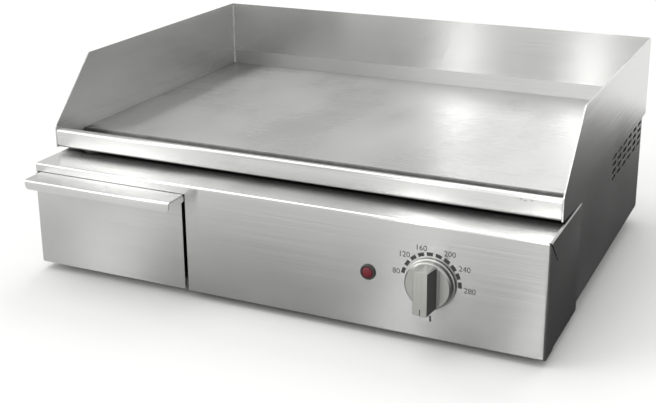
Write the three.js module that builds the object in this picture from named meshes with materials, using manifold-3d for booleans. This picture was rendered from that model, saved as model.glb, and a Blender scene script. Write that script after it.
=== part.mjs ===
// Bench-top electric flat griddle, built as an assembly. Millimetres, +Z up, front towards -Y.
//
// Everything is first drawn in a drafting frame: x = 0 on the centre plane, y = 0 on the
// front face of the control box, z = 0 on its bottom edge. placeInRowFrame() then moves the
// whole assembly so that the origin is the bottom centre of its bounding box.
import * as THREE from 'three';
import { mergeVertices } from 'three/addons/utils/BufferGeometryUtils.js';
import Module from 'manifold-3d';

const wasm = await Module();
wasm.setup();

// ---- driving dimensions -------------------------------------------------------------------
const WIDTH = 600;
const SHEET = 1.5; // stainless sheet, used for every cover
const GAP = 0.3; // air left between two separate pieces
const BEND = 3; // outside radius of a folded edge

const BOX_HEIGHT = 122.5; // control box: top ledge above its bottom edge
const BOX_DEPTH = 120;
const RETURN_DEPTH = 27; // side flange folded back from the front face

const APRON_Y = 41; // front face of the trough, set back on the ledge
const APRON_BOTTOM = 129;
const APRON_TOP = 151.5;
const PLATE_FRONT_Y = 93;
const PLATE_TOP = 138.8;
const PLATE_THICKNESS = 8;

const SPLASH_FRONT_TOP = 154; // top of the upright front edge of a side splash guard
const SPLASH_KNEE_Y = 113;
const SPLASH_TOP = 227;
const SPLASH_REAR_Y = 460;
const OVERHANG_Z = 129;
const BODY_REAR_Y = 437.5;
const BODY_BOTTOM = 11.6;

const DRAWER_LEFT = -WIDTH / 2 + 0.5;
const DRAWER_RIGHT = -105.5;
const DRAWER_TOP = 112.5;
const DRAWER_BOTTOM = 1.5;
const LIP_LEFT = -291;
const LIP_RIGHT = -102.5;
const LIP_REACH = 30;
const LIP_DROP = 11;
const TUB_DEPTH = 188;

const KNOB_X = 181.2;
const LAMP_X = 113.6;
const CONTROL_Z = 60.9; // knob axis and lamp height
const KNOB_RADIUS = 25;
const KNOB_REACH = 30.5;

const FOOT_DROP = 8; // how far the feet stand below the control box
const FOOT_X = 262;
const FOOT_Y = [38, 405];

// ---- derived ------------------------------------------------------------------------------
const HALF = WIDTH / 2;
const INSIDE = HALF - SHEET; // inner face of a side panel
const FITTED = INSIDE - GAP; // half width of what sits between the side panels
const PLATE_BOTTOM = PLATE_TOP - PLATE_THICKNESS;
const SPLASH_INNER_Y = SPLASH_REAR_Y - SHEET;
const DRAIN_X = -262;
const DRAIN_Y = (APRON_Y + PLATE_FRONT_Y) / 2;
const DRAIN_RADIUS = 15.8;
const FRONT_MOST_Y = -Math.max(LIP_REACH, KNOB_REACH);
const CENTRE_Y = (FRONT_MOST_Y + SPLASH_REAR_Y) / 2;

const STEEL = { color: 0xc9c9c6, roughness: 0.34, metalness: 1 };
const PLATE_STEEL = { color: 0xbdbdba, roughness: 0.3, metalness: 1 };
const DARK_STEEL = { color: 0x77787a, roughness: 0.45, metalness: 1 };
const BLACK_PLASTIC = { color: 0x1b1b1c, roughness: 0.45, metalness: 0 };
const RUBBER = { color: 0x161616, roughness: 0.8, metalness: 0 };
const RED_LENS = { color: 0xb31212, roughness: 0.15, metalness: 0 };
const CERAMIC = { color: 0xe8e2d4, roughness: 0.6, metalness: 0 };
const WOOL = { color: 0xd8cfae, roughness: 0.95, metalness: 0 };

// ---- solid helpers ------------------------------------------------------------------------
const vec2 = ([u, v]) => new THREE.Vector2(u, v);

function toManifold(geometry) {
  const bare = geometry.clone();
  bare.deleteAttribute('normal');
  bare.deleteAttribute('uv');
  const welded = mergeVertices(bare, 1e-4);
  return new wasm.Manifold(new wasm.Mesh({
    numProp: 3,
    vertProperties: new Float32Array(welded.attributes.position.array),
    triVerts: new Uint32Array(welded.index.array),
  }));
}

function toGeometry(manifold) {
  const mesh = manifold.getMesh();
  const geometry = new THREE.BufferGeometry();
  geometry.setAttribute('position', new THREE.BufferAttribute(mesh.vertProperties, 3));
  geometry.setIndex(new THREE.BufferAttribute(mesh.triVerts, 1));
  geometry.computeVertexNormals();
  return geometry;
}

function cut(body, tools) {
  return toGeometry(tools.reduce(
    (rest, tool) => rest.subtract(toManifold(tool)),
    toManifold(body),
  ));
}

function join(pieces) {
  const [first, ...others] = pieces.map(toManifold);
  return toGeometry(others.reduce((sum, piece) => sum.add(piece), first));
}

function common(pieces) {
  const [first, ...others] = pieces.map(toManifold);
  return toGeometry(others.reduce((shared, piece) => shared.intersect(piece), first));
}

function box([x0, y0, z0], [x1, y1, z1]) {
  return new THREE.BoxGeometry(x1 - x0, y1 - y0, z1 - z0)
    .translate((x0 + x1) / 2, (y0 + y1) / 2, (z0 + z1) / 2);
}

function extrude(shape, length) {
  return new THREE.ExtrudeGeometry(shape, { depth: length, bevelEnabled: false, curveSegments: 5 });
}

// A (y, z) outline drawn out from x0 to x1.
function extrudeX(shape, x0, x1) {
  const turn = new THREE.Matrix4().makeBasis(
    new THREE.Vector3(0, 1, 0),
    new THREE.Vector3(0, 0, 1),
    new THREE.Vector3(1, 0, 0),
  );
  return extrude(shape, x1 - x0).applyMatrix4(turn).translate(x0, 0, 0);
}

// An (x, z) outline drawn out from y0 to y1.
function extrudeY(shape, y0, y1) {
  return extrude(shape, y1 - y0).rotateX(Math.PI / 2).translate(0, y1, 0);
}

// An (x, y) outline drawn out from z0 to z1.
function extrudeZ(shape, z0, z1) {
  return extrude(shape, z1 - z0).translate(0, 0, z0);
}

function rod(radius, length, sides = 24) {
  return new THREE.CylinderGeometry(radius, radius, length, sides);
}

function rodY(x, z, radius, y0, y1, sides) {
  return rod(radius, y1 - y0, sides).translate(x, (y0 + y1) / 2, z);
}

function rodZ(x, y, radius, z0, z1, sides) {
  return rod(radius, z1 - z0, sides).rotateX(Math.PI / 2).translate(x, y, (z0 + z1) / 2);
}

// Turns a closed (radius, height) outline about +Z.
function latheZ(outline, sides = 24) {
  return new THREE.LatheGeometry([...outline, outline[0]].map(vec2), sides).rotateX(Math.PI / 2);
}

// ---- outline helpers ----------------------------------------------------------------------
const ARC_STEPS = 5;

// Points along a path whose corners are rounded. Each point carries the direction of travel.
function roundedPath(corners, radii) {
  const points = [];
  const last = corners.length - 1;
  corners.forEach((corner, i) => {
    const here = vec2(corner);
    if (i === 0 || i === last || !radii[i]) {
      const from = i === 0 ? here : vec2(corners[i - 1]);
      const to = i === 0 ? vec2(corners[1]) : here;
      points.push({ at: here, along: to.clone().sub(from).normalize() });
      return;
    }
    const before = here.clone().sub(vec2(corners[i - 1])).normalize();
    const after = vec2(corners[i + 1]).sub(here).normalize();
    const turn = Math.atan2(before.cross(after), before.dot(after));
    const side = Math.sign(turn);
    const start = here.clone().addScaledVector(before, -radii[i] * Math.tan(Math.abs(turn) / 2));
    const inward = new THREE.Vector2(-before.y, before.x).multiplyScalar(side);
    const centre = start.clone().addScaledVector(inward, radii[i]);
    for (let step = 0; step <= ARC_STEPS; step += 1) {
      const angle = (turn * step) / ARC_STEPS;
      points.push({
        at: start.clone().rotateAround(centre, angle),
        along: before.clone().rotateAround(new THREE.Vector2(), angle),
      });
    }
  });
  return points;
}

// Section through folded sheet: the corners lie on the middle of its thickness.
function foldedSheet(corners, thickness = SHEET, bend = BEND) {
  const middle = roundedPath(corners, corners.map(() => bend - thickness / 2));
  const offset = (sign) => ({ at, along }) => new THREE.Vector2(
    at.x - (sign * along.y * thickness) / 2,
    at.y + (sign * along.x * thickness) / 2,
  );
  return new THREE.Shape([...middle.map(offset(-1)), ...middle.map(offset(1)).reverse()]);
}

// Closed outline with a radius at each corner (0 keeps it sharp).
function roundedOutline(corners, radii) {
  const closed = [corners.at(-1), ...corners, corners[0]];
  const closedRadii = [0, ...radii, 0];
  return new THREE.Shape(
    roundedPath(closed, closedRadii).slice(1, -1).map(({ at }) => at),
  );
}

function rectangle(u0, v0, u1, v1, radius = 0) {
  return roundedOutline([[u0, v0], [u1, v0], [u1, v1], [u0, v1]], Array(4).fill(radius));
}

// Vent slot with half-round ends.
function slot(u, v, length, height) {
  const ends = [[1, -Math.PI / 2], [-1, Math.PI / 2]];
  const steps = 4;
  return new THREE.Path(ends.flatMap(([side, first]) => (
    Array.from({ length: steps + 1 }, (_, i) => {
      const angle = first + (Math.PI * i) / steps;
      return new THREE.Vector2(
        u + (side * (length - height)) / 2 + (height / 2) * Math.cos(angle),
        v + (height / 2) * Math.sin(angle),
      );
    })
  )));
}

function roundHole(u, v, radius, sides = 24) {
  return new THREE.Path(Array.from({ length: sides }, (_, i) => {
    const angle = (2 * Math.PI * i) / sides;
    return new THREE.Vector2(u + radius * Math.cos(angle), v + radius * Math.sin(angle));
  }));
}

function grid(columns, rows, pitchU, pitchV, firstU, firstV) {
  return Array.from({ length: columns * rows }, (_, i) => [
    firstU + (i % columns) * pitchU,
    firstV + Math.floor(i / columns) * pitchV,
  ]);
}

// ---- hot top ------------------------------------------------------------------------------
function griddlePlate() {
  const rearY = SPLASH_INNER_Y - GAP;
  const edge = 1.2; // small break on the front top edge
  return extrudeX(new THREE.Shape([
    [PLATE_FRONT_Y, PLATE_BOTTOM],
    [rearY, PLATE_BOTTOM],
    [rearY, PLATE_TOP],
    [PLATE_FRONT_Y + edge, PLATE_TOP],
    [PLATE_FRONT_Y, PLATE_TOP - edge],
  ].map(vec2)), -FITTED, FITTED);
}

// Front apron rolled over at the top, with the trough floor behind it.
function greaseTrough() {
  const half = SHEET / 2;
  const rollWidth = 9;
  const lap = 10; // the floor runs in under the plate
  const section = foldedSheet([
    [PLATE_FRONT_Y + lap, APRON_BOTTOM + half],
    [APRON_Y + half, APRON_BOTTOM + half],
    [APRON_Y + half, APRON_TOP - half],
    [APRON_Y + rollWidth, APRON_TOP - half],
    [APRON_Y + rollWidth, APRON_TOP - rollWidth],
  ], SHEET, 4.2);
  const hole = rodZ(DRAIN_X, DRAIN_Y, DRAIN_RADIUS, APRON_BOTTOM - 1, APRON_BOTTOM + SHEET + 1, 32);
  return cut(extrudeX(section, -FITTED, FITTED), [hole]);
}

// Flanged tube that carries grease from the trough down through the ledge.
function drainSpout() {
  const outer = DRAIN_RADIUS - GAP;
  const inner = outer - SHEET;
  const flange = DRAIN_RADIUS + 5;
  const rim = APRON_BOTTOM + SHEET;
  const flangeTop = APRON_BOTTOM - GAP;
  const tip = 100;
  return latheZ([
    [inner, tip],
    [outer, tip],
    [outer, flangeTop - SHEET],
    [flange, flangeTop - SHEET],
    [flange, flangeTop],
    [outer, flangeTop],
    [outer, rim],
    [inner, rim],
  ], 32).translate(DRAIN_X, DRAIN_Y, 0);
}

// ---- sheet-metal body ---------------------------------------------------------------------
const VENT_LENGTH = 20;
const VENT_HEIGHT = 4;
const VENT_PITCH_Y = 29;
const VENT_PITCH_Z = 8.6;
const VENT_FIRST_Y = 277;
const VENT_FIRST_Z = 100;

// Splash guard and body side are one flat sheet; the vents are near its rear edge.
function sidePanel(x0) {
  const slitRear = BOX_HEIGHT + 1;
  const seamY = BOX_DEPTH + GAP;
  const outline = roundedOutline([
    [APRON_Y, APRON_BOTTOM],
    [seamY, slitRear],
    [seamY, BODY_BOTTOM],
    [BODY_REAR_Y, BODY_BOTTOM],
    [BODY_REAR_Y, OVERHANG_Z],
    [SPLASH_REAR_Y, OVERHANG_Z],
    [SPLASH_REAR_Y, SPLASH_TOP],
    [SPLASH_KNEE_Y, SPLASH_TOP],
    [APRON_Y, SPLASH_FRONT_TOP],
  ], [0, 0, 0, 2, 2, 2, 2, 5, 5]);
  grid(6, 4, VENT_PITCH_Y, VENT_PITCH_Z, VENT_FIRST_Y, VENT_FIRST_Z).forEach(([y, z]) => {
    outline.holes.push(slot(y, z, VENT_LENGTH, VENT_HEIGHT));
  });
  return extrudeX(outline, x0, x0 + SHEET);
}

// Rear splash guard with the short flange that carries it over the body.
function splashBack() {
  const half = SHEET / 2;
  return extrudeX(foldedSheet([
    [SPLASH_REAR_Y - half, SPLASH_TOP],
    [SPLASH_REAR_Y - half, OVERHANG_Z - half],
    [BODY_REAR_Y + GAP, OVERHANG_Z - half],
  ]), -FITTED, FITTED);
}

const GLAND_X = 210;
const GLAND_Z = 45;
const GLAND_THREAD = 9;

const REAR_VENT_LENGTH = 32;
const REAR_VENT_PITCH = [50, 12];
const REAR_VENT_FIRST = [-175, 88];

function rearPanel() {
  const top = PLATE_BOTTOM - GAP;
  const bottom = BODY_BOTTOM + SHEET + GAP;
  const outline = rectangle(-FITTED, bottom, FITTED, top);
  grid(8, 2, ...REAR_VENT_PITCH, ...REAR_VENT_FIRST).forEach(([x, z]) => {
    outline.holes.push(slot(x, z, REAR_VENT_LENGTH, VENT_HEIGHT));
  });
  outline.holes.push(roundHole(GLAND_X, GLAND_Z, GLAND_THREAD + GAP));
  return extrudeY(outline, BODY_REAR_Y - SHEET, BODY_REAR_Y);
}

const PAN_FRONT_Y = 4;
const STEM_RADIUS = 4;

function basePan() {
  const outline = rectangle(-FITTED, PAN_FRONT_Y, FITTED, BODY_REAR_Y);
  [-FOOT_X, FOOT_X].forEach((x) => FOOT_Y.forEach((y) => {
    outline.holes.push(roundHole(x, y, STEM_RADIUS + GAP));
  }));
  return extrudeZ(outline, BODY_BOTTOM, BODY_BOTTOM + SHEET);
}

// A block with folded (rounded) front and top edges, `inset` inside the box's outer faces.
function boxBlock(inset, overrun) {
  const radius = BEND - inset;
  const side = HALF - inset;
  const top = BOX_HEIGHT - inset;
  const front = inset;
  const rear = BOX_DEPTH + overrun;
  const bottom = -overrun;
  return common([
    extrudeX(roundedOutline(
      [[front, bottom], [rear, bottom], [rear, top], [front, top]],
      [0, 0, 0, radius],
    ), -side, side),
    extrudeY(roundedOutline(
      [[-side, bottom], [side, bottom], [side, top], [-side, top]],
      [0, 0, radius, radius],
    ), front, rear),
    extrudeZ(roundedOutline(
      [[-side, front], [side, front], [side, rear], [-side, rear]],
      [radius, radius, 0, 0],
    ), bottom, top),
  ]);
}

// The 45 degree relief where the side flange meets the front flange at the right corner.
function mitreSlit() {
  const width = 1.6;
  const length = RETURN_DEPTH * Math.SQRT2;
  return new THREE.BoxGeometry(4 * SHEET, length, width)
    .rotateX(-Math.PI / 4)
    .translate(HALF, RETURN_DEPTH / 2, BOX_HEIGHT - RETURN_DEPTH / 2);
}

const OVERRUN = 1; // margin that lets a cutting tool run past both faces
const SHAFT_RADIUS = 3;
const LAMP_RADIUS = 6.5;
const SCREW_X = [-67.5, 118.9];
const SCREW_Y = 8;

// Front, top ledge and both sides, folded from one sheet. The ledge turns up at the rear to
// close the hot compartment, and the front turns in at the bottom.
function controlBox() {
  const openingRight = DRAWER_RIGHT + 4.5;
  const openingTop = DRAWER_TOP + GAP;
  const stepUp = 2; // the sides end a little above the front flange
  const shell = cut(boxBlock(0, 0), [boxBlock(SHEET, 2)]);
  const openShell = cut(shell, [
    box([-HALF - 1, -1, -1], [openingRight, SHEET + 1, openingTop]),
    box([-HALF - 1, -1, -1], [-INSIDE + 1, BOX_DEPTH + 1, stepUp]),
    box([INSIDE - 1, RETURN_DEPTH, -1], [HALF + 1, BOX_DEPTH + 1, stepUp]),
    mitreSlit(),
    rodY(KNOB_X, CONTROL_Z, SHAFT_RADIUS + 2, -OVERRUN, SHEET + OVERRUN),
    rodY(LAMP_X, CONTROL_Z, LAMP_RADIUS + GAP, -OVERRUN, SHEET + OVERRUN),
    rodZ(DRAIN_X, DRAIN_Y, DRAIN_RADIUS + 2, BOX_HEIGHT - 3, BOX_HEIGHT + 1, 32),
  ]);
  const flange = cut(
    box([openingRight + 1, SHEET / 2, 0], [INSIDE - 1, 14, SHEET]),
    SCREW_X.map((x) => rodZ(x, SCREW_Y, 2 + GAP, -1, SHEET + 1, 16)),
  );
  const upstand = box(
    [-FITTED, BOX_DEPTH - SHEET, BOX_HEIGHT - SHEET],
    [FITTED, BOX_DEPTH, PLATE_BOTTOM - GAP],
  );
  return join([openShell, flange, upstand]);
}

// ---- grease drawer ------------------------------------------------------------------------
const LIP_CORNER = 5;

// Front sheet folded forward into a finger lip with a turned-down edge.
function drawerFront() {
  const half = SHEET / 2;
  const lipZ = DRAWER_TOP - half;
  const section = foldedSheet([
    [half, DRAWER_BOTTOM],
    [half, lipZ],
    [-LIP_REACH + half, lipZ],
    [-LIP_REACH + half, DRAWER_TOP - LIP_DROP],
  ]);
  const folded = extrudeX(section, DRAWER_LEFT, LIP_RIGHT);
  const shoulder = DRAWER_TOP - BEND;
  const lipEnds = roundedOutline([
    [LIP_LEFT, DRAWER_TOP - LIP_DROP],
    [LIP_RIGHT, DRAWER_TOP - LIP_DROP],
    [LIP_RIGHT, DRAWER_TOP + 1],
    [LIP_LEFT, DRAWER_TOP + 1],
  ], [LIP_CORNER, LIP_CORNER, 0, 0]);
  const lip = common([folded, extrudeY(lipEnds, -LIP_REACH - 1, half)]);
  const panelEnds = roundedOutline([
    [DRAWER_LEFT, DRAWER_BOTTOM],
    [DRAWER_RIGHT, DRAWER_BOTTOM],
    [DRAWER_RIGHT, DRAWER_TOP + 1],
    [DRAWER_LEFT, DRAWER_TOP + 1],
  ], [2, 2, 0, 0]);
  const panel = common([folded, extrudeY(panelEnds, -GAP, SHEET + 1)]);
  const sideTrim = box([DRAWER_LEFT - 1, -GAP - 1, shoulder], [LIP_LEFT, SHEET + 1, DRAWER_TOP + 1]);
  return cut(join([lip, panel]), [sideTrim]);
}

const TUB_LEFT = -288;
const TUB_RIGHT = -117;
const TUB_BOTTOM = 15.5;
const TUB_TOP = 95;
const TUB_FRONT_Y = SHEET + GAP;

function drawerTub() {
  const rearY = TUB_FRONT_Y + TUB_DEPTH;
  const wall = 1.2;
  const shell = extrudeZ(rectangle(TUB_LEFT, TUB_FRONT_Y, TUB_RIGHT, rearY, 6), TUB_BOTTOM, TUB_TOP);
  const hollow = extrudeZ(
    rectangle(TUB_LEFT + wall, TUB_FRONT_Y + wall, TUB_RIGHT - wall, rearY - wall, 6 - wall),
    TUB_BOTTOM + wall,
    TUB_TOP + 1,
  );
  return cut(shell, [hollow]);
}

// Angle rail: its foot carries the tub and its upright guides the tub's side.
function drawerRunner(outerX, inwards) {
  const foot = 14;
  const height = 22;
  const base = BODY_BOTTOM + SHEET + GAP;
  const half = 1.4 / 2;
  return extrudeY(foldedSheet([
    [outerX + inwards * foot, base + half],
    [outerX, base + half],
    [outerX, base + height],
  ], 1.4, 2), 12, 230);
}

// ---- controls -----------------------------------------------------------------------------
const SKIRT_RADIUS = KNOB_RADIUS + 1.3;
const DRUM_REACH = 10.7;
const BAR_RADIUS = 23.7;
const BAR_ROOT_WIDTH = 20;
const BAR_FACE_WIDTH = 15;
const KNOB_STAND_OFF = 1; // air behind the skirt
const SHAFT_FRONT_Y = -15;

// Drum with a thin skirt and a tapered grip bar across it. At rest the pointer end is down.
function thermostatKnob() {
  const drum = new THREE.LatheGeometry([
    [0, KNOB_STAND_OFF],
    [SKIRT_RADIUS, KNOB_STAND_OFF],
    [SKIRT_RADIUS, KNOB_STAND_OFF + 1.6],
    [KNOB_RADIUS, KNOB_STAND_OFF + 2.2],
    [KNOB_RADIUS, DRUM_REACH - 2],
    [KNOB_RADIUS - 2, DRUM_REACH],
    [0, DRUM_REACH],
  ].map(vec2), 40).rotateX(Math.PI).translate(KNOB_X, 0, CONTROL_Z);
  const taper = roundedOutline([
    [KNOB_X - BAR_FACE_WIDTH / 2, -KNOB_REACH],
    [KNOB_X + BAR_FACE_WIDTH / 2, -KNOB_REACH],
    [KNOB_X + BAR_ROOT_WIDTH / 2, 1 - DRUM_REACH],
    [KNOB_X - BAR_ROOT_WIDTH / 2, 1 - DRUM_REACH],
  ], [1, 1, 0, 0]);
  const bar = common([
    extrudeZ(taper, CONTROL_Z - KNOB_RADIUS, CONTROL_Z + KNOB_RADIUS),
    rodY(KNOB_X, CONTROL_Z, BAR_RADIUS, -KNOB_REACH - 1, 0, 40),
  ]);
  const bore = rodY(KNOB_X, CONTROL_Z, SHAFT_RADIUS + GAP, SHAFT_FRONT_Y - GAP, 0);
  return cut(join([drum, bar]), [bore]);
}

const STAT_FRONT_Y = 9;
const STAT_REAR_Y = 41;

function thermostatShaft() {
  return rodY(KNOB_X, CONTROL_Z, SHAFT_RADIUS, SHAFT_FRONT_Y, 24);
}

function thermostatBody() {
  const housing = extrudeY(
    rectangle(KNOB_X - 21, CONTROL_Z - 16, KNOB_X + 21, CONTROL_Z + 16, 3),
    STAT_FRONT_Y,
    STAT_REAR_Y,
  );
  const neck = rodY(KNOB_X, CONTROL_Z, SHAFT_RADIUS + 4, SHEET + GAP, STAT_FRONT_Y + 1);
  const bore = rodY(KNOB_X, CONTROL_Z, SHAFT_RADIUS + GAP, 0, 25);
  return cut(join([housing, neck]), [bore]);
}

const BULB_X = 0;
const BULB_Y = [190, 300];
const BULB_RADIUS = 2.6;
const BULB_Z = PLATE_BOTTOM - BULB_RADIUS - 0.5;
const CAPILLARY_RADIUS = 1;

function thermostatBulb() {
  return rodY(BULB_X, BULB_Z, BULB_RADIUS, BULB_Y[0], BULB_Y[1], 16);
}

// A path given by its stations, so that straight runs take no rings between their ends.
class StationPath extends THREE.Curve {
  constructor(stations) {
    super();
    this.stations = stations;
  }

  station(fraction) {
    return this.stations[Math.round(fraction * (this.stations.length - 1))];
  }

  getPointAt(fraction) {
    return this.station(fraction).at.clone();
  }

  getTangentAt(fraction) {
    return this.station(fraction).along.clone();
  }
}

// The stations of one rounded corner, on a quarter circle between two straight runs.
function bendStations(before, corner, after, radius) {
  const into = corner.clone().sub(before).normalize();
  const out = after.clone().sub(corner).normalize();
  const centre = corner.clone().addScaledVector(into, -radius).addScaledVector(out, radius);
  return Array.from({ length: ARC_STEPS }, (_, i) => {
    const angle = (Math.PI / 2) * (i / (ARC_STEPS - 1));
    const at = centre.clone()
      .addScaledVector(out, -radius * Math.cos(angle))
      .addScaledVector(into, radius * Math.sin(angle));
    const along = into.clone().multiplyScalar(Math.cos(angle)).addScaledVector(out, Math.sin(angle));
    return { at, along };
  });
}

// A round bar through square corners, each rounded to the bend radius.
function bentRod(corners, radius, bend) {
  const at = corners.map((corner) => new THREE.Vector3(...corner));
  const heading = (from, to) => to.clone().sub(from).normalize();
  const stations = [
    { at: at[0], along: heading(at[0], at[1]) },
    ...at.slice(1, -1).flatMap((corner, i) => bendStations(at[i], corner, at[i + 2], bend)),
    { at: at.at(-1), along: heading(at.at(-2), at.at(-1)) },
  ];
  const section = new THREE.Shape(roundHole(0, 0, radius, 8).getPoints());
  return new THREE.ExtrudeGeometry(section, {
    extrudePath: new StationPath(stations),
    steps: stations.length - 1,
    bevelEnabled: false,
  });
}

const RISER_Y = 127; // gap between the control box and the insulation, used by pipes and leads

function thermostatCapillary() {
  return bentRod([
    [KNOB_X, STAT_REAR_Y + GAP, CONTROL_Z + 8],
    [KNOB_X, RISER_Y, CONTROL_Z + 8],
    [KNOB_X, RISER_Y, BULB_Z],
    [BULB_X, RISER_Y, BULB_Z],
    [BULB_X, BULB_Y[0] - GAP, BULB_Z],
  ], CAPILLARY_RADIUS, 5);
}

const LENS_RADIUS = LAMP_RADIUS - 0.7;
const BEZEL_RADIUS = LAMP_RADIUS + 1.9;
const BEZEL_HEIGHT = 2.2;

function lampBezel() {
  const inner = LENS_RADIUS + GAP;
  return new THREE.LatheGeometry([
    [inner, 0],
    [BEZEL_RADIUS, 0],
    [BEZEL_RADIUS, BEZEL_HEIGHT - 1.2],
    [BEZEL_RADIUS - 1, BEZEL_HEIGHT],
    [inner, BEZEL_HEIGHT],
    [inner, 0],
  ].map(vec2), 32).rotateX(Math.PI).translate(LAMP_X, -GAP, CONTROL_Z);
}

// Domed lens that stands through the bezel.
function lampLens() {
  const top = 4;
  return new THREE.LatheGeometry([
    [0, -2],
    [LENS_RADIUS, -2],
    [LENS_RADIUS, BEZEL_HEIGHT],
    [LENS_RADIUS * 0.87, top - 1],
    [LENS_RADIUS * 0.5, top - 0.3],
    [0, top],
  ].map(vec2), 32).rotateX(Math.PI).translate(LAMP_X, 0, CONTROL_Z);
}

function lampBody() {
  const front = 2 + GAP;
  return rodY(LAMP_X, CONTROL_Z, LAMP_RADIUS, front, 32, 20);
}

// ---- heating ------------------------------------------------------------------------------
const ELEMENT_RADIUS = 4;
const ELEMENT_Z = PLATE_BOTTOM - ELEMENT_RADIUS - 0.8;
const ELEMENT_REAR_Y = 435;
const ELEMENT_FRONT_Y = 150;
const LEG_PITCH = 62;

// Four legs under one half of the plate; both ends turn down to the terminals.
function heatingElement(centreX) {
  const [a, b, c, d] = [-1.5, -0.5, 0.5, 1.5].map((k) => centreX + k * LEG_PITCH);
  const rear = ELEMENT_REAR_Y - 18;
  const end = 78;
  return bentRod([
    [a, RISER_Y, end],
    [a, RISER_Y, ELEMENT_Z],
    [a, rear, ELEMENT_Z],
    [b, rear, ELEMENT_Z],
    [b, ELEMENT_FRONT_Y, ELEMENT_Z],
    [c, ELEMENT_FRONT_Y, ELEMENT_Z],
    [c, rear, ELEMENT_Z],
    [d, rear, ELEMENT_Z],
    [d, RISER_Y, ELEMENT_Z],
    [d, RISER_Y, end],
  ], ELEMENT_RADIUS, 12);
}

const CLAMP_Y = [175, 285, 395];
const CLAMP_TOP = ELEMENT_Z - ELEMENT_RADIUS - GAP;
const CLAMP_THICKNESS = 3;

function elementClamp(y) {
  return box([-265, y - 10, CLAMP_TOP - CLAMP_THICKNESS], [265, y + 10, CLAMP_TOP]);
}

const PAD_FRONT_Y = 140;
const PAD_REAR_Y = 430;
const PAD_HALF = 285;
const SHIELD_BOTTOM = 98;
const SHIELD = 1;

function insulationPad() {
  const top = CLAMP_TOP - CLAMP_THICKNESS - GAP;
  return box(
    [-PAD_HALF, PAD_FRONT_Y, SHIELD_BOTTOM + SHIELD + GAP],
    [PAD_HALF, PAD_REAR_Y, top],
  );
}

// Shallow tray that holds the insulation up under the elements.
function heatShield() {
  const half = SHIELD / 2;
  const lipTop = CLAMP_TOP - CLAMP_THICKNESS;
  const front = PAD_FRONT_Y - 2 * GAP - half;
  const rear = PAD_REAR_Y + 2 * GAP + half;
  return extrudeX(foldedSheet([
    [front, lipTop],
    [front, SHIELD_BOTTOM + half],
    [rear, SHIELD_BOTTOM + half],
    [rear, lipTop],
  ], SHIELD, 0.55), -FITTED, FITTED);
}

// ---- supply -------------------------------------------------------------------------------
// Three-way ceramic block on the base pan, just inside the cable entry.
const BLOCK_HALF = 30;
const BLOCK_Y = [350, 376];
const BLOCK_HEIGHT = 24;
const WIRE_PITCH = 18;
const WIRE_HOLE_RADIUS = 3.5;

function terminalBlock() {
  const base = BODY_BOTTOM + SHEET + GAP;
  const [front, rear] = BLOCK_Y;
  const block = box(
    [GLAND_X - BLOCK_HALF, front, base],
    [GLAND_X + BLOCK_HALF, rear, base + BLOCK_HEIGHT],
  );
  const holes = [-WIRE_PITCH, 0, WIRE_PITCH].map((dx) => rodY(
    GLAND_X + dx, base + BLOCK_HEIGHT / 2, WIRE_HOLE_RADIUS, front - OVERRUN, rear + OVERRUN, 12,
  ));
  return cut(block, holes);
}

// Cable inlet through the rear panel: thread, round head and dome around an open bore.
const GLAND_BORE = 4.5;
const GLAND_HEAD_RADIUS = 13;
const GLAND_DOME_RADIUS = 10.5;
const GLAND_INSIDE = -14;
const GLAND_HEAD_END = 9;
const GLAND_OUTSIDE = 17;

function cableGland() {
  const out = [
    [GLAND_BORE, GLAND_INSIDE],
    [GLAND_THREAD, GLAND_INSIDE],
    [GLAND_THREAD, SHEET + GAP],
    [GLAND_HEAD_RADIUS, SHEET + GAP],
    [GLAND_HEAD_RADIUS, GLAND_HEAD_END],
    [GLAND_DOME_RADIUS, GLAND_OUTSIDE],
    [GLAND_BORE, GLAND_OUTSIDE],
  ];
  return new THREE.LatheGeometry([...out, out[0]].map(vec2), 24)
    .translate(GLAND_X, BODY_REAR_Y - SHEET, 0)
    .translate(0, 0, GLAND_Z);
}

// ---- feet and screws ----------------------------------------------------------------------
// Rubber foot with a push-in stem through the base pan.
function foot(x, y) {
  const seat = BODY_BOTTOM - GAP;
  const panTop = BODY_BOTTOM + SHEET;
  const headTop = 1.6;
  return latheZ([
    [0, -FOOT_DROP],
    [12, -FOOT_DROP],
    [14, seat],
    [STEM_RADIUS, seat],
    [STEM_RADIUS, panTop + GAP],
    [6, panTop + GAP],
    [5, panTop + headTop],
    [0, panTop + headTop],
  ], 20).translate(x, y, 0);
}

function fasciaScrew(x) {
  return latheZ([
    [0, -GAP - 1.8],
    [2.6, -GAP - 1.8],
    [3.8, -GAP - 0.8],
    [3.8, -GAP],
    [2, -GAP],
    [2, 7],
    [0, 7],
  ], 12).translate(x, SCREW_Y, 0);
}

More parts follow.
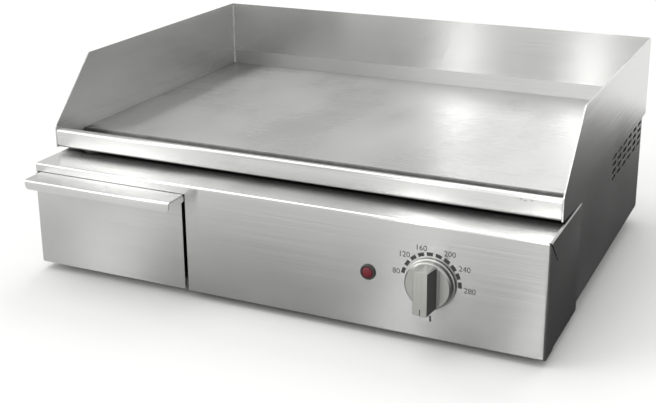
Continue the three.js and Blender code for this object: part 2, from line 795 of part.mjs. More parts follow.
// ---- assembly -----------------------------------------------------------------------------
function buildPieces() {
  const pieces = [
    ['griddle_plate', griddlePlate(), PLATE_STEEL],
    ['grease_trough', greaseTrough(), STEEL],
    ['drain_spout', drainSpout(), STEEL],
    ['side_panel_left', sidePanel(-HALF), STEEL],
    ['side_panel_right', sidePanel(INSIDE), STEEL],
    ['splash_back', splashBack(), STEEL],
    ['rear_panel', rearPanel(), STEEL],
    ['base_pan', basePan(), STEEL],
    ['control_box', controlBox(), STEEL],
    ['drawer_front', drawerFront(), STEEL],
    ['drawer_tub', drawerTub(), STEEL],
    ['drawer_runner_left', drawerRunner(TUB_LEFT - 1.5, 1), DARK_STEEL],
    ['drawer_runner_right', drawerRunner(TUB_RIGHT + 1.5, -1), DARK_STEEL],
    ['thermostat_knob', thermostatKnob(), STEEL],
    ['thermostat_shaft', thermostatShaft(), DARK_STEEL],
    ['thermostat_body', thermostatBody(), BLACK_PLASTIC],
    ['thermostat_bulb', thermostatBulb(), DARK_STEEL],
    ['thermostat_capillary', thermostatCapillary(), DARK_STEEL],
    ['lamp_bezel', lampBezel(), BLACK_PLASTIC],
    ['lamp_lens', lampLens(), RED_LENS],
    ['lamp_body', lampBody(), BLACK_PLASTIC],
    ['heating_element_left', heatingElement(-HALF / 2), DARK_STEEL],
    ['heating_element_right', heatingElement(HALF / 2), DARK_STEEL],
    ['insulation_pad', insulationPad(), WOOL],
    ['heat_shield', heatShield(), DARK_STEEL],
    ['terminal_block', terminalBlock(), CERAMIC],
    ['cable_gland', cableGland(), BLACK_PLASTIC],
  ];
  CLAMP_Y.forEach((y, i) => pieces.push([`element_clamp_${i + 1}`, elementClamp(y), DARK_STEEL]));
  SCREW_X.forEach((x, i) => pieces.push([`fascia_screw_${i + 1}`, fasciaScrew(x), DARK_STEEL]));
  [['left', -FOOT_X], ['right', FOOT_X]].forEach(([side, x]) => {
    pieces.push([`foot_front_${side}`, foot(x, FOOT_Y[0]), RUBBER]);
    pieces.push([`foot_rear_${side}`, foot(x, FOOT_Y[1]), RUBBER]);
  });
  return pieces;
}

function placeInRowFrame(geometry) {
  return geometry.translate(0, -CENTRE_Y, FOOT_DROP);
}

const assembly = new THREE.Group();
assembly.name = 'flat_top_griddle';
buildPieces().forEach(([name, geometry, finish]) => {
  const mesh = new THREE.Mesh(placeInRowFrame(geometry), new THREE.MeshStandardMaterial(finish));
  mesh.name = name;
  assembly.add(mesh);
});

export default assembly;
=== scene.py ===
"""Looks of the flat top griddle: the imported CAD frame, finer pieces where the eye goes, procedural
stainless steel and a pale studio. Lengths are metres in the row frame: +X right, +Y to the rear,
+Z up, origin under the middle of the object."""

import math

import bmesh
import bpy
from mathutils import Matrix, Vector


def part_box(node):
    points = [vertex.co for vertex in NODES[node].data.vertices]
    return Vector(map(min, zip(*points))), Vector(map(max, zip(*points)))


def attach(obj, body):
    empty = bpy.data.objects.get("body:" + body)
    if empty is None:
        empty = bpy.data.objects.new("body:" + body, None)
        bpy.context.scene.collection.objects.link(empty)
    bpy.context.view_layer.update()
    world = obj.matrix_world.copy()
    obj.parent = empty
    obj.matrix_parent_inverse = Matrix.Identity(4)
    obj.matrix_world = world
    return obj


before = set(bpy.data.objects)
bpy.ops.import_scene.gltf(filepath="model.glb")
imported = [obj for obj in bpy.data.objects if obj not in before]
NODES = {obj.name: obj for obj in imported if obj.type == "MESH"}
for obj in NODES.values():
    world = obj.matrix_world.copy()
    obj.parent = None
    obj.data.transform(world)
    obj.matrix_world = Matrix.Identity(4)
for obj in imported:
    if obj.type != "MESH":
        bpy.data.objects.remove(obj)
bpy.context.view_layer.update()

MM = 0.001


# ---- places taken from the CAD frame ------------------------------------------------------
def middle(node):
    low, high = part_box(node)
    return (low + high) / 2


SHEET = 1.5 * MM
UPSTAND = 8 * MM  # how far the fold at the back of the ledge rises above it
FRONT_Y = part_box("control_box")[0].y
LEDGE_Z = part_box("control_box")[1].z - UPSTAND
BOX_BASE_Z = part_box("control_box")[0].z
APRON_Y, APRON_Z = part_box("grease_trough")[0].y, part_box("grease_trough")[1].z
PLATE_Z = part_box("griddle_plate")[1].z
PLATE_LEFT_X, PLATE_FRONT_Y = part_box("griddle_plate")[0].x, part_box("griddle_plate")[0].y
BACK_LOW, BACK_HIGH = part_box("splash_back")
KNOB = middle("thermostat_shaft")
KNOB_FRONT_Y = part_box("thermostat_knob")[0].y


# ---- node graph helpers -------------------------------------------------------------------
NOISE_LOW, NOISE_HIGH = 0.3, 0.7  # most of a noise texture lies between these


class Graph:
    """A short way to write a material's node graph."""

    def __init__(self, name):
        self.material = bpy.data.materials.new(name)
        self.material.use_nodes = True
        self.tree = self.material.node_tree
        self.surface = self.tree.nodes["Principled BSDF"]

    def add(self, kind, inputs=None, **settings):
        node = self.tree.nodes.new(kind)
        for key, value in settings.items():
            setattr(node, key, value)
        for key, value in (inputs or {}).items():
            self.put(value, node.inputs[key])
        return node

    def put(self, value, socket):
        if isinstance(value, bpy.types.NodeSocket):
            self.tree.links.new(value, socket)
        else:
            socket.default_value = value

    def set(self, **values):
        """Inputs of the surface, with _ for each space in a name."""
        for key, value in values.items():
            self.put(value, self.surface.inputs[key.replace("_", " ")])

    def place(self):
        return self.add("ShaderNodeTexCoord").outputs["Object"]

    def axis(self, vector, axis):
        return self.add("ShaderNodeSeparateXYZ", {0: vector}).outputs[axis]

    def math(self, operation, *values):
        node = self.add("ShaderNodeMath", operation=operation)
        for socket, value in zip(node.inputs, values):
            self.put(value, socket)
        return node.outputs[0]

    def vector_math(self, operation, inputs):
        return self.add("ShaderNodeVectorMath", inputs, operation=operation).outputs[0]

    def product(self, *factors):
        result = factors[0]
        for factor in factors[1:]:
            result = self.math("MULTIPLY", result, factor)
        return result

    def noise(self, vector, scale, detail=3.0, roughness=0.5):
        return self.add(
            "ShaderNodeTexNoise",
            {"Vector": vector, "Scale": scale, "Detail": detail, "Roughness": roughness},
        ).outputs["Fac"]

    def blotches(self, vector, scale):
        """Noise with busy, broken edges."""
        return self.noise(vector, scale, 4.0, 0.7)

    def stretched(self, vector, scale, offset=(0, 0, 0)):
        return self.add(
            "ShaderNodeMapping", {"Vector": vector, "Scale": scale, "Location": offset}
        ).outputs["Vector"]

    def ramp(self, value, from_low, from_high, to_low, to_high):
        return self.add(
            "ShaderNodeMapRange",
            {
                "Value": value,
                "From Min": from_low,
                "From Max": from_high,
                "To Min": to_low,
                "To Max": to_high,
            },
        ).outputs["Result"]

    def rise(self, value, low, high):
        """0 up to low, and 1 from high on."""
        return self.ramp(value, low, high, 0.0, 1.0)

    def fall(self, value, low, high):
        """1 up to low, and 0 from high on."""
        return self.ramp(value, low, high, 1.0, 0.0)

    def between(self, value, low, high, softness):
        """1 where the value is between low and high, fading over the softness."""
        return self.product(
            self.rise(value, low - softness, low + softness),
            self.fall(value, high - softness, high + softness),
        )

    def spread(self, noise, low, high):
        """Noise brought into the range from low to high."""
        return self.ramp(noise, NOISE_LOW, NOISE_HIGH, low, high)

    def blend(self, factor, a, b):
        node = self.add("ShaderNodeMix", data_type="RGBA", blend_type="MIX")
        self.put(factor, node.inputs[0])
        self.put(a, node.inputs[6])
        self.put(b, node.inputs[7])
        return node.outputs[2]

    def bump(self, height, strength, distance):
        return self.add(
            "ShaderNodeBump",
            {"Height": height, "Strength": strength, "Distance": distance},
        ).outputs["Normal"]


def grey(value, tint=(1.0, 1.0, 0.985)):
    return (value * tint[0], value * tint[1], value * tint[2], 1.0)


# ---- brushed steel ------------------------------------------------------------------------
GRAIN_ALONG = 4.0  # noise cycles per metre along the brushing
GRAIN_ACROSS = 2500.0  # and across it
GRAIN_TONE = 0.04  # how much the brushing changes the tone
GRAIN_ROUGHNESS = 0.01  # and the roughness
CLOUDS_PER_METRE = (9.0, 5.0, 9.0)
LEVEL_FACE = (0.3, 0.9)  # a face turns from upright to level as its normal's Z goes through these


def brushing(g, place, upward, offset):
    """Fine noise drawn out along the brushing."""
    upright = g.stretched(place, (GRAIN_ALONG, GRAIN_ALONG, GRAIN_ACROSS), offset)
    level = g.stretched(place, (GRAIN_ALONG, GRAIN_ACROSS, GRAIN_ALONG), offset)
    return g.add(
        "ShaderNodeMix",
        {0: upward, 2: g.noise(upright, 1.0, 4.0), 3: g.noise(level, 1.0, 4.0)},
        data_type="FLOAT",
    ).outputs[0]


def furrowed(g, normal, across, grain, depth):
    """The normal, tilted across the brushing by its grain."""
    amount = g.math("MULTIPLY", g.math("SUBTRACT", grain, 0.5), depth)
    tilt = g.vector_math("SCALE", {0: across, "Scale": amount})
    return g.vector_math("NORMALIZE", {0: g.vector_math("ADD", {0: normal, 1: tilt})})


def brushed_steel(
    name, tone, roughness, seed, film=0.01, stretch=1.0, furrow=0.3, level_face_light=1.0,
    zone=None, mark=None
):
    """Steel brushed level: streaks run round the upright faces and along X on flat ones.

    film is how cloudy it is, stretch how far highlights are drawn out, furrow how deep the
    brushing is, and level_face_light how much lighter the level faces are painted, as painted
    light. zone is a function that gives how marked each place is, from 0 to 1, and mark is the
    tone and the extra roughness where it is 1.
    """
    g = Graph(name)
    place = g.place()
    geometry = g.add("ShaderNodeNewGeometry")
    face = geometry.outputs["True Normal"]
    upward = g.math("ABSOLUTE", g.axis(face, "Z"))
    offset = (seed, seed * 1.7, seed * 0.6)
    grain = brushing(g, place, upward, offset)
    cloud = g.noise(g.stretched(place, CLOUDS_PER_METRE, offset), 1.0, 2.0)
    tone_here = g.product(
        g.spread(grain, 1.0 - GRAIN_TONE, 1.0 + GRAIN_TONE),
        g.spread(cloud, 1.0 - 2 * film, 1.0 + 2 * film),
        # painted light: the level faces are made lighter
        g.ramp(upward, *LEVEL_FACE, 1.0, level_face_light),
    )
    rough = g.math(
        "ADD",
        g.spread(grain, roughness + GRAIN_ROUGHNESS, roughness - GRAIN_ROUGHNESS),
        g.spread(cloud, -film, film),
    )
    if zone:
        marked = zone(g, place, face)
        marked_tone, added_roughness = mark
        tone_here = g.product(tone_here, g.ramp(marked, 0.0, 1.0, 1.0, marked_tone))
        rough = g.math("ADD", rough, g.ramp(marked, 0.0, 1.0, 0.0, added_roughness))
    across = g.add("ShaderNodeCombineXYZ", {1: upward, 2: g.math("SUBTRACT", 1.0, upward)}).outputs[0]
    g.set(
        Base_Color=g.vector_math("SCALE", {0: grey(tone)[:3], "Scale": tone_here}),
        Metallic=1.0,
        Roughness=rough,
        Anisotropic=stretch,
        Tangent=across,
        Normal=furrowed(g, geometry.outputs["Normal"], across, grain, furrow),
    )
    return g.material


# ---- marks and painted shade on the steel -------------------------------------------------
# What each kind of mark does to the steel: the tone that it leaves, and the roughness it adds.
# painted shade: the tone and roughness for the gap behind the apron and for the bottom hem
PAINTED_SHADE = (0.04, 0.1)
STAIN_AND_SHADE = (0.35, 0.15)
# the plate's mark serves the burnt-on fat on its front edge, and the painted shade in its front left
# corner
BURNT_FAT_AND_SHADE = (0.42, 0.3)
# the trough's mark serves its stains and scuffs, and the painted shade underneath
FOOT_BAND_MARK = (0.86, 0.16)
DARKER_FOOT_MARK = (0.78, 0.12)

# how dark the painted shade along the bottom hem is, from 0 to 1
HEM_SHADE = 0.85
FOOT_BAND_REACH = 20 * MM
DARKER_FOOT_HEIGHT = 26 * MM
# how far the painted shade in the plate's front left corner reaches
CORNER_SHADE_WIDTH, CORNER_SHADE_DEPTH = 34 * MM, 18 * MM


def smoked_ledge(g, place, face):
    """Painted shade on the back of the ledge, in the dark gap under the hot plate, and along the
    bottom hem.
    """
    height = g.axis(place, "Z")
    behind = g.rise(g.axis(place, "Y"), APRON_Y + 2 * MM, APRON_Y + 14 * MM)
    on_top = g.rise(height, LEDGE_Z - 4 * MM, LEDGE_Z - 3 * MM)
    off_the_side = g.fall(g.axis(face, "X"), 0.5, 0.9)
    hem = g.ramp(height, BOX_BASE_Z + 0.4 * MM, BOX_BASE_Z + 1.2 * MM, HEM_SHADE, 0.0)
    return g.math("MAXIMUM", g.product(behind, on_top, off_the_side), hem)


SCUFFS = ((257.5, 4.6), (262.0, 5.8), (268.5, 5.0))  # x, depth below the roll's top, in mm
SCUFF_HALF_WIDTH, SCUFF_SIDE_FADE = 1.6 * MM, 0.5 * MM
SCUFF_HALF_HEIGHT, SCUFF_TOP_FADE = 0.5 * MM, 0.4 * MM


def scuff(g, place, x, depth):
    z = APRON_Z - depth
    return g.product(
        g.between(g.axis(place, "X"), x - SCUFF_HALF_WIDTH, x + SCUFF_HALF_WIDTH, SCUFF_SIDE_FADE),
        g.between(g.axis(place, "Z"), z - SCUFF_HALF_HEIGHT, z + SCUFF_HALF_HEIGHT, SCUFF_TOP_FADE),
        g.fall(g.axis(place, "Y"), APRON_Y + 3 * MM, APRON_Y + 5 * MM),
    )


def stained_trough(g, place, face):
    """Painted shade underneath, dark stains inside, and three scuffs near the right end of the roll.
    """
    # painted shade on the faces that look down
    under = g.fall(g.axis(face, "Z"), -0.6, -0.3)
    inside = g.rise(g.axis(place, "Y"), APRON_Y + 10 * MM, APRON_Y + 12 * MM)
    speckle = g.spread(g.blotches(place, 240.0), 0.6, 1.0)
    marked = g.math("MAXIMUM", under, g.product(inside, speckle))
    for x, depth in SCUFFS:
        marked = g.math("MAXIMUM", marked, scuff(g, place, x * MM, depth * MM))
    return marked


def burnt_edge(g, place, face):
    """The plate's front edge is dull with burnt-on fat, and has painted shade at its left end, in the
    corner by the left wall.
    """
    depth = g.axis(place, "Y")
    front = g.fall(depth, PLATE_FRONT_Y + 1.5 * MM, PLATE_FRONT_Y + 4 * MM)
    patch = g.spread(g.blotches(place, 130.0), 0.75, 1.0)
    left = g.fall(g.axis(place, "X"), PLATE_LEFT_X, PLATE_LEFT_X + CORNER_SHADE_WIDTH)
    near = g.fall(depth, PLATE_FRONT_Y, PLATE_FRONT_Y + CORNER_SHADE_DEPTH)
    # painted shade in the corner by the left wall
    corner_shade = g.ramp(g.blotches(place, 160.0), 0.4, 0.55, 0.0, 1.8)
    return g.math("MAXIMUM", g.product(front, patch), g.product(left, near, corner_shade))


def ground_weld(g, place, face):
    """A band along the foot of the splash guard, where it meets the plate, a little darker and
    rougher.
    """
    return g.between(g.axis(place, "Z"), PLATE_Z - FOOT_BAND_REACH, PLATE_Z + FOOT_BAND_REACH, 1 * MM)


def greasy_foot(g, place, face):
    """Darker and rougher down towards the plate, in soft patches."""
    low = g.fall(g.axis(place, "Z"), PLATE_Z, PLATE_Z + DARKER_FOOT_HEIGHT)
    return g.product(low, g.spread(g.noise(place, 14.0), 0.5, 1.0))


# ---- other materials ----------------------------------------------------------------------
def plain_metal(name, tone, roughness):
    """Dull metal with a faint cloudy film."""
    g = Graph(name)
    cloud = g.noise(g.place(), 60.0, 4.0)
    g.set(
        Base_Color=g.blend(cloud, grey(tone * 0.85), grey(tone * 1.1)),
        Metallic=1.0,
        Roughness=g.spread(cloud, roughness - 0.06, roughness + 0.06),
        Normal=g.bump(cloud, 0.1, 0.3 * MM),
    )
    return g.material


POINTER_HALF_WIDTH = 0.5 * MM
POINTER_TIP = 22.4 * MM  # below the knob's centre, with the knob at off
POINTER_ROOT = 16.0 * MM
POINTER_FADE = 0.1 * MM
SILVER_TINT = (1, 1, 0.95)
SILVER_DEEP, SILVER_PALE = grey(0.46, SILVER_TINT), grey(0.56, SILVER_TINT)
# painted shade on the knob's left and right sides
FLANK_SHADE = grey(0.12)
POINTER_BLACK = grey(0.03)


def knob_pointer(g, place):
    """The line printed on the front of the knob's grip."""
    x, z = g.axis(place, "X"), g.axis(place, "Z")
    return g.product(
        g.between(x, KNOB.x - POINTER_HALF_WIDTH, KNOB.x + POINTER_HALF_WIDTH, POINTER_FADE),
        g.between(z, KNOB.z - POINTER_TIP, KNOB.z - POINTER_ROOT, POINTER_FADE),
        g.fall(g.axis(place, "Y"), KNOB_FRONT_Y, KNOB_FRONT_Y + 2 * MM),
    )


def satin_silver(name):
    """The knob's satin plated plastic, with painted shade on its flanks, and a black pointer line."""
    g = Graph(name)
    place = g.place()
    grain = g.noise(g.stretched(place, (500.0, 500.0, 30.0)), 1.0)
    cloud = g.noise(place, 90.0)
    normal = g.add("ShaderNodeTexCoord").outputs["Normal"]
    flank_shade = g.rise(g.math("ABSOLUTE", g.axis(normal, "X")), 0.35, 0.8)
    silver = g.blend(flank_shade, g.blend(grain, SILVER_DEEP, SILVER_PALE), FLANK_SHADE)
    pointer = knob_pointer(g, place)
    g.set(
        Base_Color=g.blend(pointer, silver, POINTER_BLACK),
        Metallic=g.ramp(pointer, 0.0, 1.0, 0.9, 0.0),
        Roughness=g.spread(cloud, 0.32, 0.4),
        Normal=g.bump(grain, 0.08, 0.2 * MM),
    )
    return g.material


def matte(name, colour, roughness, speckle=220.0, depth=0.2 * MM):
    """Matte moulded or printed surface with a fine speckle."""
    g = Graph(name)
    fine = g.noise(g.place(), speckle)
    light = tuple(min(1.0, c * 1.15) for c in colour)
    g.set(
        Base_Color=g.blend(fine, (*colour, 1.0), (*light, 1.0)),
        Roughness=g.spread(fine, roughness - 0.05, roughness + 0.05),
        Normal=g.bump(fine, 0.1, depth),
    )
    return g.material


LENS_DEEP, LENS_BRIGHT = (0.11, 0.007, 0.012, 1), (0.15, 0.012, 0.02, 1)


def red_lens(name):
    """Deep red plastic with the lamp out behind it."""
    g = Graph(name)
    fine = g.noise(g.place(), 700.0, 2.0)
    g.set(
        Base_Color=g.blend(fine, LENS_DEEP, LENS_BRIGHT),
        Roughness=g.spread(fine, 0.28, 0.36),
        Specular_IOR_Level=0.35,
    )
    return g.material


def polished(name, value, roughness):
    """A plain polished grey board."""
    g = Graph(name)
    cloud = g.noise(g.place(), 6.0, 2.0)
    g.set(Base_Color=g.blend(cloud, grey(value), grey(value * 1.08)), Roughness=roughness)
    return g.material


def pale_floor(name):
    """Pale matte paper."""
    g = Graph(name)
    cloud = g.noise(g.place(), 3.0, 2.0)
    g.set(
        Base_Color=g.blend(cloud, grey(0.78), grey(0.8)),
        Roughness=0.9,
        Specular_IOR_Level=0.0,
    )
    return g.material


# ---- mesh helpers -------------------------------------------------------------------------
SAME_POINT = 1e-6
BEVEL_SEGMENTS = 2
BEVEL_ANGLE = 30.0  # edges that turn by fewer degrees stay as they are


def new_piece(name, mesh_maker, material, body="griddle_body"):
    """An object from a function that fills a bmesh."""
    mesh = bpy.data.meshes.new(name)
    shape = bmesh.new()
    mesh_maker(shape)
    bmesh.ops.recalc_face_normals(shape, faces=shape.faces[:])
    shape.to_mesh(mesh)
    shape.free()
    piece = bpy.data.objects.new(name, mesh)
    bpy.context.scene.collection.objects.link(piece)
    mesh.materials.append(material)
    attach(piece, body)
    return piece


def shade_smooth(piece):
    for face in piece.data.polygons:
        face.use_smooth = True


def soften(piece, width):
    """Rounded edges with even shading across the flats."""
    shade_smooth(piece)
    weld = piece.modifiers.new("weld", "WELD")
    weld.merge_threshold = SAME_POINT
    bevel = piece.modifiers.new("bevel", "BEVEL")
    bevel.width = width
    bevel.segments = BEVEL_SEGMENTS
    bevel.limit_method = "ANGLE"
    bevel.angle_limit = math.radians(BEVEL_ANGLE)
    bevel.harden_normals = False
    even = piece.modifiers.new("even_normals", "WEIGHTED_NORMAL")
    even.keep_sharp = True


# ---- dial print ---------------------------------------------------------------------------
PRINT_HEIGHT = 0.05 * MM
DIAL_RADIUS = 30.4 * MM
DIAL_BAR_DEPTH = 3.8 * MM
DIAL_BAR_ARC = 12.0
DIAL_FIRST_BAR = 163.5  # degrees, anticlockwise from +X as seen from the front
DIAL_BAR_PITCH = -17.6
DIAL_BARS = 10
DIAL_BAR_STEPS = 6
OFF_MARK_HALF_WIDTH = 1.1 * MM
OFF_MARK_TOP, OFF_MARK_BOTTOM = 36.0 * MM, 42.0 * MM  # below the knob's centre
FIGURE_HEIGHT = 6.2 * MM
FONT_SIZE_PER_HEIGHT = 1.35
FIGURES = {  # millimetres from the knob's centre, and degrees as for the first bar
    80: (37.5, 170),
    120: (38.5, 138),
    160: (37, 107),
    200: (38.5, 60),
    240: (40, 30),
    280: (40.5, -3),
}


def on_dial(radius, degrees):
    """A point on the fascia at that radius and angle round the knob."""
    angle = math.radians(degrees)
    return Vector((KNOB.x + radius * math.cos(angle), FRONT_Y, KNOB.z + radius * math.sin(angle)))


def raise_print(shape, outline):
    """A thin printed patch standing just off the fascia."""
    front = [shape.verts.new(p + Vector((0, -PRINT_HEIGHT, 0))) for p in outline]
    back = [shape.verts.new(p) for p in outline]
    shape.faces.new(front)
    shape.faces.new(back[::-1])
    count = len(outline)
    for i in range(count):
        j = (i + 1) % count
        shape.faces.new((front[i], back[i], back[j], front[j]))


def dial_bars(shape):
    for bar in range(DIAL_BARS):
        start = DIAL_FIRST_BAR + DIAL_BAR_PITCH * bar - DIAL_BAR_ARC / 2
        angles = [start + DIAL_BAR_ARC * i / DIAL_BAR_STEPS for i in range(DIAL_BAR_STEPS + 1)]
        outer = [on_dial(DIAL_RADIUS + DIAL_BAR_DEPTH / 2, a) for a in angles]
        inner = [on_dial(DIAL_RADIUS - DIAL_BAR_DEPTH / 2, a) for a in angles]
        raise_print(shape, outer + inner[::-1])


def off_mark(shape):
    left, right = KNOB.x - OFF_MARK_HALF_WIDTH, KNOB.x + OFF_MARK_HALF_WIDTH
    top, bottom = KNOB.z - OFF_MARK_TOP, KNOB.z - OFF_MARK_BOTTOM
    corners = ((left, top), (right, top), (right, bottom), (left, bottom))
    raise_print(shape, [Vector((x, FRONT_Y, z)) for x, z in corners])


def dial_figure(value, radius, degrees, material):
    """One temperature on the dial, as a thin mesh made from the built-in plain font."""
    curve = bpy.data.curves.new(f"figure_{value}", "FONT")
    curve.body = str(value)
    curve.size = FIGURE_HEIGHT * FONT_SIZE_PER_HEIGHT
    curve.align_x = "CENTER"
    curve.align_y = "CENTER"
    curve.extrude = PRINT_HEIGHT
    curve.resolution_u = 3
    text = bpy.data.objects.new("text", curve)
    bpy.context.scene.collection.objects.link(text)
    upright = Matrix.Rotation(math.pi / 2, 4, "X")
    text.matrix_world = Matrix.Translation(on_dial(radius, degrees)) @ upright
    bpy.context.view_layer.update()
    mesh = bpy.data.meshes.new_from_object(text.evaluated_get(bpy.context.evaluated_depsgraph_get()))
    mesh.transform(text.matrix_world)
    bpy.data.objects.remove(text)
    figure = bpy.data.objects.new(f"dial_figure_{value}", mesh)
    bpy.context.scene.collection.objects.link(figure)
    mesh.materials.clear()
    mesh.materials.append(material)
    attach(figure, "griddle_body")


def make_dial():
    ink = matte("dial_ink", (0.035, 0.035, 0.033), 0.5, speckle=900.0, depth=0.02 * MM)
    new_piece("dial_bars", dial_bars, ink)
    new_piece("dial_off_mark", off_mark, ink)
    for value, (radius, degrees) in FIGURES.items():
        dial_figure(value, radius * MM, degrees, ink)


# ---- knob ribs ----------------------------------------------------------------------------
KNOB_FACE_Y = -10.7 * MM  # the drum's front face, from the fascia
RIB_OFFSET = 12.3 * MM
RIB_HALF_WIDTH = 0.6 * MM
RIB_HALF_LENGTH = 18.0 * MM
RIB_HEIGHT = 0.6 * MM
RIB_ROUNDING = 0.3 * MM


def add_box(shape, low, high):
    size = Vector(high) - Vector(low)
    centre = (Vector(high) + Vector(low)) / 2
    place = Matrix.Translation(centre) @ Matrix.Diagonal((*size, 1))
    bmesh.ops.create_cube(shape, size=1.0, matrix=place)


def knob_ribs(shape):
    """Two low ribs on the drum's face, one on each side of the grip bar."""
    face = FRONT_Y + KNOB_FACE_Y
    for side in (-1, 1):
        x = KNOB.x + side * RIB_OFFSET
        add_box(
            shape,
            (x - RIB_HALF_WIDTH, face - RIB_HEIGHT, KNOB.z - RIB_HALF_LENGTH),
            (x + RIB_HALF_WIDTH, face + RIB_HEIGHT, KNOB.z + RIB_HALF_LENGTH),
        )


def make_knob_ribs():
    soften(new_piece("knob_ribs", knob_ribs, satin_silver("rib_silver"), "knob"), RIB_ROUNDING)


# ---- corner welds -------------------------------------------------------------------------
BEAD_RADIUS = 1.3 * MM
BEAD_RIPPLE = 0.12  # how much of the radius the ripples add and take away
BEAD_PITCH = 2.2 * MM
BEAD_SIDES = 8
RINGS_PER_RIPPLE = 4
BEAD_FOOT_GAP, BEAD_TOP_GAP = 1 * MM, 3 * MM


def bead_ring(shape, x, y, z, radius):
    angles = [2 * math.pi * k / BEAD_SIDES for k in range(BEAD_SIDES)]
    return [shape.verts.new((x + radius * math.cos(a), y + radius * math.sin(a), z)) for a in angles]


def corner_bead(x, y):
    """A function that makes a rippled weld up an inside corner of the splash guard."""
    low, high = PLATE_Z + BEAD_FOOT_GAP, BACK_HIGH.z - BEAD_TOP_GAP
    rings = int((high - low) / BEAD_PITCH * RINGS_PER_RIPPLE)

    def make(shape):
        last = None
        for i in range(rings + 1):
            ripple = math.sin(2 * math.pi * i / RINGS_PER_RIPPLE)
            z = low + (high - low) * i / rings
            ring = bead_ring(shape, x, y, z, BEAD_RADIUS * (1.0 + BEAD_RIPPLE * ripple))
            if last:
                for k in range(BEAD_SIDES):
                    n = (k + 1) % BEAD_SIDES
                    shape.faces.new((last[k], last[n], ring[n], ring[k]))
            else:
                shape.faces.new(ring[::-1])
            last = ring
        shape.faces.new(last)

    return make


def make_welds():
    weld_metal = plain_metal("weld_metal", 0.62, 0.3)
    y = BACK_HIGH.y - SHEET
    for side, x in (("left", BACK_LOW.x), ("right", BACK_HIGH.x)):
        shade_smooth(new_piece(f"corner_weld_{side}", corner_bead(x, y), weld_metal))


# ---- studio -------------------------------------------------------------------------------
FLOOR_REACH = 14.0
WORLD_STRENGTH = 0.7

# The soft lights, each an even rectangle that faces the object: bearing in degrees to the right of
# straight in front, height angle in degrees, width and height in metres, and brightness.
LIGHT_DISTANCE = 12.0
SOFT_LIGHTS = {
    "left_softbox": (-60, 25, 8.0, 8.0, 3.0),
    "right_softbox": (60, 25, 6.0, 8.0, 1.4),
    "front_right_softbox": (-11, 25, 3.5, 10.0, 1.3),
    "ceiling_softbox": (-90, 75, 8.0, 8.0, 3.2),
    "rear_softbox": (180, 50, 8.0, 6.0, 2.8),
}

# Three tall windows in front, all leaning back alike: how far to the left, width and brightness.
# They make the upright streaks on the brushed steel.
WINDOW_DISTANCE = 11.0
WINDOW_LEAN = 21.0
WINDOW_HEIGHT = 6.0
WINDOWS = {
    "left_window": (7.5, 1.0, 5.0),
    "centre_window": (3.65, 0.13, 20.0),
    "right_window": (2.15, 0.13, 20.0),
}

# Two cards on the floor that only reflections show: a black one keeps the right side dark, as is
# done for shiny things, and a polished grey one stands for the edge of a bench in front.
BLACK_CARD = ((0.3, -0.5), (1.2, 0.72))
BENCH_CARD = ((-0.9, -0.42), (0.3, -0.216))
CARD_LIFT = 0.001


def glow(name, brightness):
    """An even, plain glowing surface."""
    material = bpy.data.materials.new(name)
    material.use_nodes = True
    tree = material.node_tree
    tree.nodes.clear()
    emission = tree.nodes.new("ShaderNodeEmission")
    emission.inputs["Strength"].default_value = brightness
    output = tree.nodes.new("ShaderNodeOutputMaterial")
    tree.links.new(emission.outputs[0], output.inputs[0])
    return material


def stage_mesh(name, vertices, material):
    """A four-sided piece of the stage, which isn't part of the object."""
    mesh = bpy.data.meshes.new(name)
    mesh.from_pydata(vertices, [], [(0, 1, 2, 3)])
    mesh.materials.append(material)
    stage = bpy.data.objects.new(name, mesh)
    bpy.context.scene.collection.objects.link(stage)
    return stage


def flat(low, high, height):
    corners = [(low[0], low[1]), (high[0], low[1]), (high[0], high[1]), (low[0], high[1])]
    return [(x, y, height) for x, y in corners]


def rectangle_light(name, centre, across, up, brightness):
    corners = [centre + across * i + up * j for i, j in ((-1, -1), (1, -1), (1, 1), (-1, 1))]
    light = stage_mesh(name, corners, glow(name, brightness))
    light.visible_camera = False


def soft_light(name, bearing, tilt, width, height, brightness):
    turn, rise = math.radians(bearing), math.radians(tilt)
    outward = Vector((
        math.sin(turn) * math.cos(rise),
        -math.cos(turn) * math.cos(rise),
        math.sin(rise),
    ))
    across = Vector((math.cos(turn), math.sin(turn), 0)) * (width / 2)
    up = outward.cross(across).normalized() * (height / 2)
    rectangle_light(name, outward * LIGHT_DISTANCE, across, up, brightness)


def tall_window(name, leftward, width, brightness):
    lean = math.radians(WINDOW_LEAN)
    back, rise = math.cos(lean), math.sin(lean)
    centre = Vector((-leftward, -WINDOW_DISTANCE * back, WINDOW_DISTANCE * rise))
    up = Vector((0, rise, back)) * (WINDOW_HEIGHT / 2)
    rectangle_light(name, centre, Vector((width / 2, 0, 0)), up, brightness)


def floor_card(name, corners, material):
    card = stage_mesh(name, flat(*corners, CARD_LIFT), material)
    card.visible_camera = False
    card.visible_diffuse = False
    card.visible_shadow = False


def make_floor():
    corner = (FLOOR_REACH, FLOOR_REACH)
    opposite = (-FLOOR_REACH, -FLOOR_REACH)
    stage_mesh("floor", flat(opposite, corner, 0.0), pale_floor("floor_paper"))


def make_studio():
    world = bpy.data.worlds.new("studio")
    bpy.context.scene.world = world
    world.use_nodes = True
    background = world.node_tree.nodes["Background"]
    background.inputs["Color"].default_value = (1.0, 1.0, 1.0, 1.0)
    background.inputs["Strength"].default_value = WORLD_STRENGTH
    for name, setting in SOFT_LIGHTS.items():
        soft_light(name, *setting)
    for name, setting in WINDOWS.items():
        tall_window(name, *setting)
    make_floor()
    floor_card("black_card", BLACK_CARD, matte("card_black", (0.02, 0.02, 0.02), 0.9))
    floor_card("bench_card", BENCH_CARD, polished("bench_grey", 0.3, 0.1))


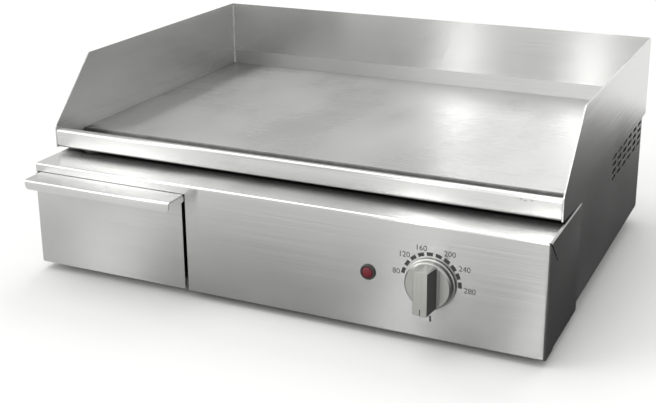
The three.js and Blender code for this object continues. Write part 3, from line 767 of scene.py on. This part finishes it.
# ---- camera -------------------------------------------------------------------------------
CAMERA_PLACE = (0.54076, -1.20629, 0.5428)
CAMERA_AZIMUTH, CAMERA_ELEVATION, CAMERA_ROLL = 24.62, 17.70, 0.28  # degrees
SENSOR_WIDTH, LENS = 36.0, 63.55  # millimetres
LENS_SHIFT_X, LENS_SHIFT_Y = -0.0229, -0.0785
NEAREST, FARTHEST = 0.05, 60


def make_camera():
    """Where the photograph was taken from, worked out from the object's own corners."""
    data = bpy.data.cameras.new("camera")
    data.sensor_width = SENSOR_WIDTH
    data.lens = LENS
    data.shift_x, data.shift_y = LENS_SHIFT_X, LENS_SHIFT_Y
    data.clip_start, data.clip_end = NEAREST, FARTHEST
    camera = bpy.data.objects.new("camera", data)
    bpy.context.scene.collection.objects.link(camera)
    azimuth, elevation = math.radians(CAMERA_AZIMUTH), math.radians(CAMERA_ELEVATION)
    roll = math.radians(CAMERA_ROLL)
    forward = Vector((
        -math.sin(azimuth) * math.cos(elevation),
        math.cos(azimuth) * math.cos(elevation),
        -math.sin(elevation),
    ))
    right = forward.cross(Vector((0, 0, 1))).normalized()
    up = right.cross(forward)
    turned_right = right * math.cos(roll) - up * math.sin(roll)
    turned_up = right * math.sin(roll) + up * math.cos(roll)
    axes = Matrix((turned_right, turned_up, -forward)).transposed().to_4x4()
    camera.matrix_world = Matrix.Translation(CAMERA_PLACE) @ axes
    bpy.context.scene.camera = camera


# ---- assembly -----------------------------------------------------------------------------
EDGE_ROUNDING = 0.35 * MM


def outer_steel():
    """The brushed sheets and the plate, by the start of the node's name."""
    return {
        "griddle_plate": brushed_steel(
            "plate_steel", 0.49, 0.28, seed=3.1, film=0.022, zone=burnt_edge, mark=BURNT_FAT_AND_SHADE
        ),
        "grease_trough": brushed_steel(
            "apron_steel", 0.6, 0.22, seed=5.3, zone=stained_trough, mark=STAIN_AND_SHADE
        ),
        "side_panel_left": brushed_steel(
            "left_panel_steel", 0.7, 0.22, seed=7.7, film=0.02, zone=greasy_foot, mark=DARKER_FOOT_MARK
        ),
        "side_panel_right": brushed_steel("right_panel_steel", 0.6, 0.22, seed=9.2, film=0.02),
        "splash_back": brushed_steel(
            "back_steel", 0.6, 0.18, seed=11.9, furrow=0.2, zone=ground_weld, mark=FOOT_BAND_MARK
        ),
        "control_box": brushed_steel(
            "fascia_steel", 0.55, 0.22, seed=13.4, film=0.02, furrow=0.2, level_face_light=1.5,
            zone=smoked_ledge, mark=PAINTED_SHADE
        ),
        "drawer_front": brushed_steel(
            "drawer_steel", 0.55, 0.22, seed=17.0, film=0.02, furrow=0.2, level_face_light=1.3
        ),
    }


def other_finishes():
    """Everything else that isn't plain inner steel, by the start of the node's name."""
    dull = plain_metal("dull_metal", 0.3, 0.45)
    blackened_and_shaded = plain_metal("blackened_shaded_steel", 0.06, 0.5)
    return {
        "thermostat_knob": satin_silver("knob_silver"),
        "lamp_bezel": matte("bezel_black", (0.03, 0.03, 0.03), 0.35),
        "lamp_lens": red_lens("lens_red"),
        "lamp_body": matte("lamp_body_black", (0.04, 0.04, 0.04), 0.5),
        "thermostat_body": matte("moulding_black", (0.03, 0.03, 0.03), 0.5),
        "thermostat_shaft": dull,
        "thermostat_bulb": dull,
        "thermostat_capillary": dull,
        "drawer_runner": dull,
        "heating_element": dull,
        "heat_shield": dull,
        "element_clamp": dull,
        # the screws' black is partly a black finish and partly painted shade under the fascia's
        # bottom edge
        "fascia_screw": blackened_and_shaded,
        "drain_spout": blackened_and_shaded,
        "cable_gland": matte("gland_black", (0.025, 0.025, 0.027), 0.45),
        "terminal_block": matte("ceramic_white", (0.75, 0.72, 0.65), 0.35),
        "insulation_pad": matte("mineral_wool", (0.6, 0.55, 0.38), 0.9, speckle=120.0, depth=2 * MM),
        "foot": matte("rubber_black", (0.02, 0.02, 0.02), 0.75),
    }


def dress_cad_nodes():
    """Materials and softened edges for the CAD nodes."""
    finishes = outer_steel() | other_finishes()
    inner_steel = brushed_steel("inner_steel", 0.55, 0.35, seed=21.0, stretch=0.4)
    for name, node in NODES.items():
        matches = [finish for start, finish in finishes.items() if name.startswith(start)]
        node.data.materials.clear()
        node.data.materials.append(matches[0] if matches else inner_steel)
        soften(node, EDGE_ROUNDING)


dress_cad_nodes()
make_knob_ribs()
make_welds()
make_dial()
make_studio()
make_camera()

scene = bpy.context.scene
scene.view_settings.view_transform = "Standard"
scene.view_settings.look = "None"
